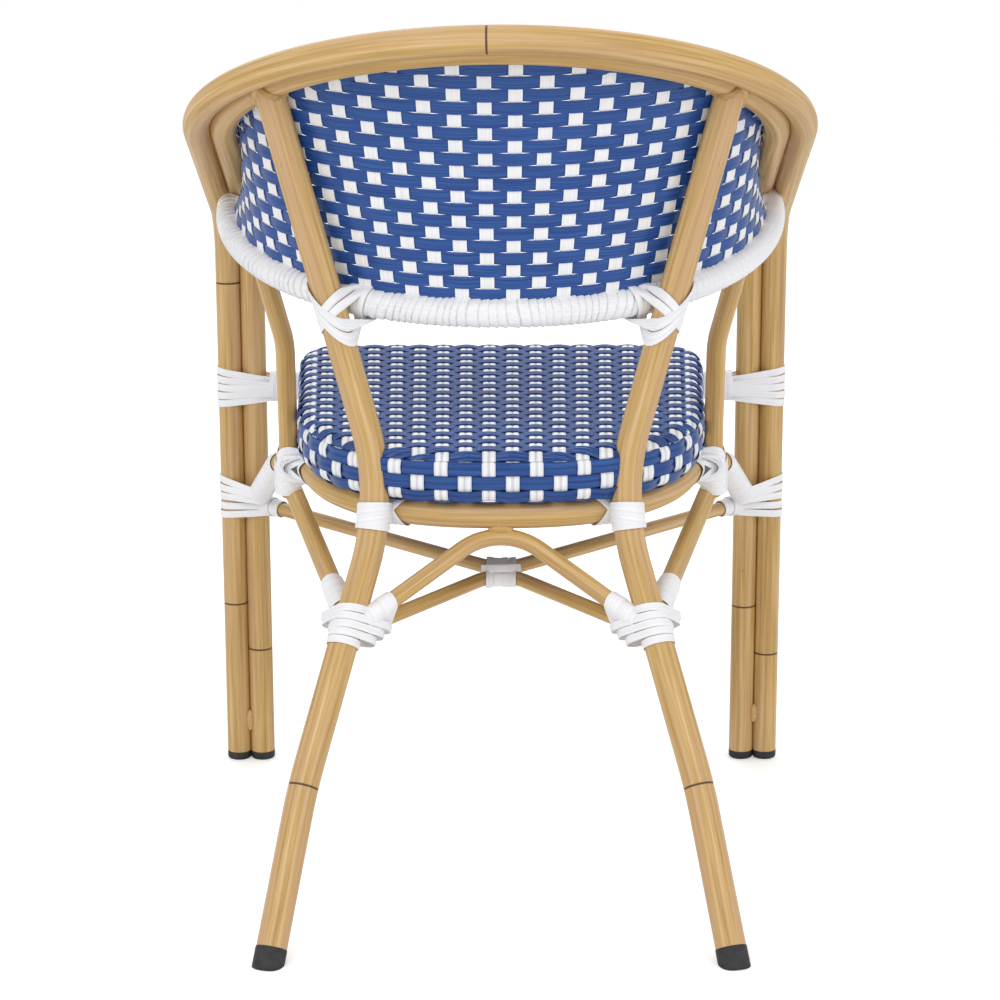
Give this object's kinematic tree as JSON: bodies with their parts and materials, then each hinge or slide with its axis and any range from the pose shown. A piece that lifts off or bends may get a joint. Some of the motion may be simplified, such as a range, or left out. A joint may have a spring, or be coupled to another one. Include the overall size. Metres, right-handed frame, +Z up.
{
  "type": "rattan bistro armchair",
  "caption": "Low open armchair: bent bamboo-look tube frame, woven seat and curved woven back, bent braces under the seat and strip lashings at the joints.",
  "frame": {"origin": "on the floor, under the middle of the chair's bounding box", "axes": "+Z up; the chair faces -Y; +X to the sitter's left"},
  "size_m": [0.6028, 0.6038, 0.8249],
  "materials": {
    "bamboo_look": "satin bamboo-look paint on aluminium tube, warm tan with fine lengthwise grain",
    "blue_weave": "satin woven plastic strands, deep blue with white squares",
    "white_strip": "satin flat white plastic strip",
    "foot_cap": "matt near-black moulded cap"
  },
  "bodies": {
    "root": {"outer_frame_tube": "bamboo_look", "inner_frame_tube": "bamboo_look", "rear_leg_left": "bamboo_look", "rear_leg_right": "bamboo_look", "lower_back_rail": "bamboo_look", "back_rail_wrapping": "white_strip", "seat_ring": "bamboo_look", "seat_frame": "bamboo_look", "seat_cross_bar_front": "bamboo_look", "seat_cross_bar_rear": "bamboo_look", "woven_seat": "blue_weave", "woven_back": "blue_weave", "back_top_rod": "bamboo_look", "brace_front": "bamboo_look", "brace_rear": "bamboo_look", "arch_rear": "bamboo_look", "arch_left": "bamboo_look", "arch_right": "bamboo_look", "arm_support_left": "bamboo_look", "arm_support_right": "bamboo_look", "seat_stub_left": "bamboo_look", "seat_stub_right": "bamboo_look", "foot_cap_outer_left": "foot_cap", "foot_cap_outer_right": "foot_cap", "foot_cap_inner_left": "foot_cap", "foot_cap_inner_right": "foot_cap", "foot_cap_rear_left": "foot_cap", "foot_cap_rear_right": "foot_cap", "lash_upper_left": "white_strip", "lash_upper_right": "white_strip", "lash_lower_left": "white_strip", "lash_lower_right": "white_strip", "lash_rear_leg_left": "white_strip", "lash_rear_leg_right": "white_strip", "lash_ring_left": "white_strip", "lash_ring_right": "white_strip", "lash_side_left": "white_strip", "lash_side_right": "white_strip", "lash_back_left": "white_strip", "lash_back_right": "white_strip", "wrap_stub_left": "white_strip", "wrap_stub_right": "white_strip", "wrap_brace_front_left": "white_strip", "wrap_brace_front_right": "white_strip", "wrap_arch_front_left": "white_strip", "wrap_arch_front_right": "white_strip", "wrap_arch_rear_left": "white_strip", "wrap_arch_rear_right": "white_strip", "wrap_brace_rear_left": "white_strip", "wrap_brace_rear_right": "white_strip", "wrap_ring_rear_left": "white_strip", "wrap_ring_rear_right": "white_strip", "wrap_ring_side_left": "white_strip", "wrap_ring_side_right": "white_strip", "lash_centre": "white_strip"}
  },
  "joints": []
}
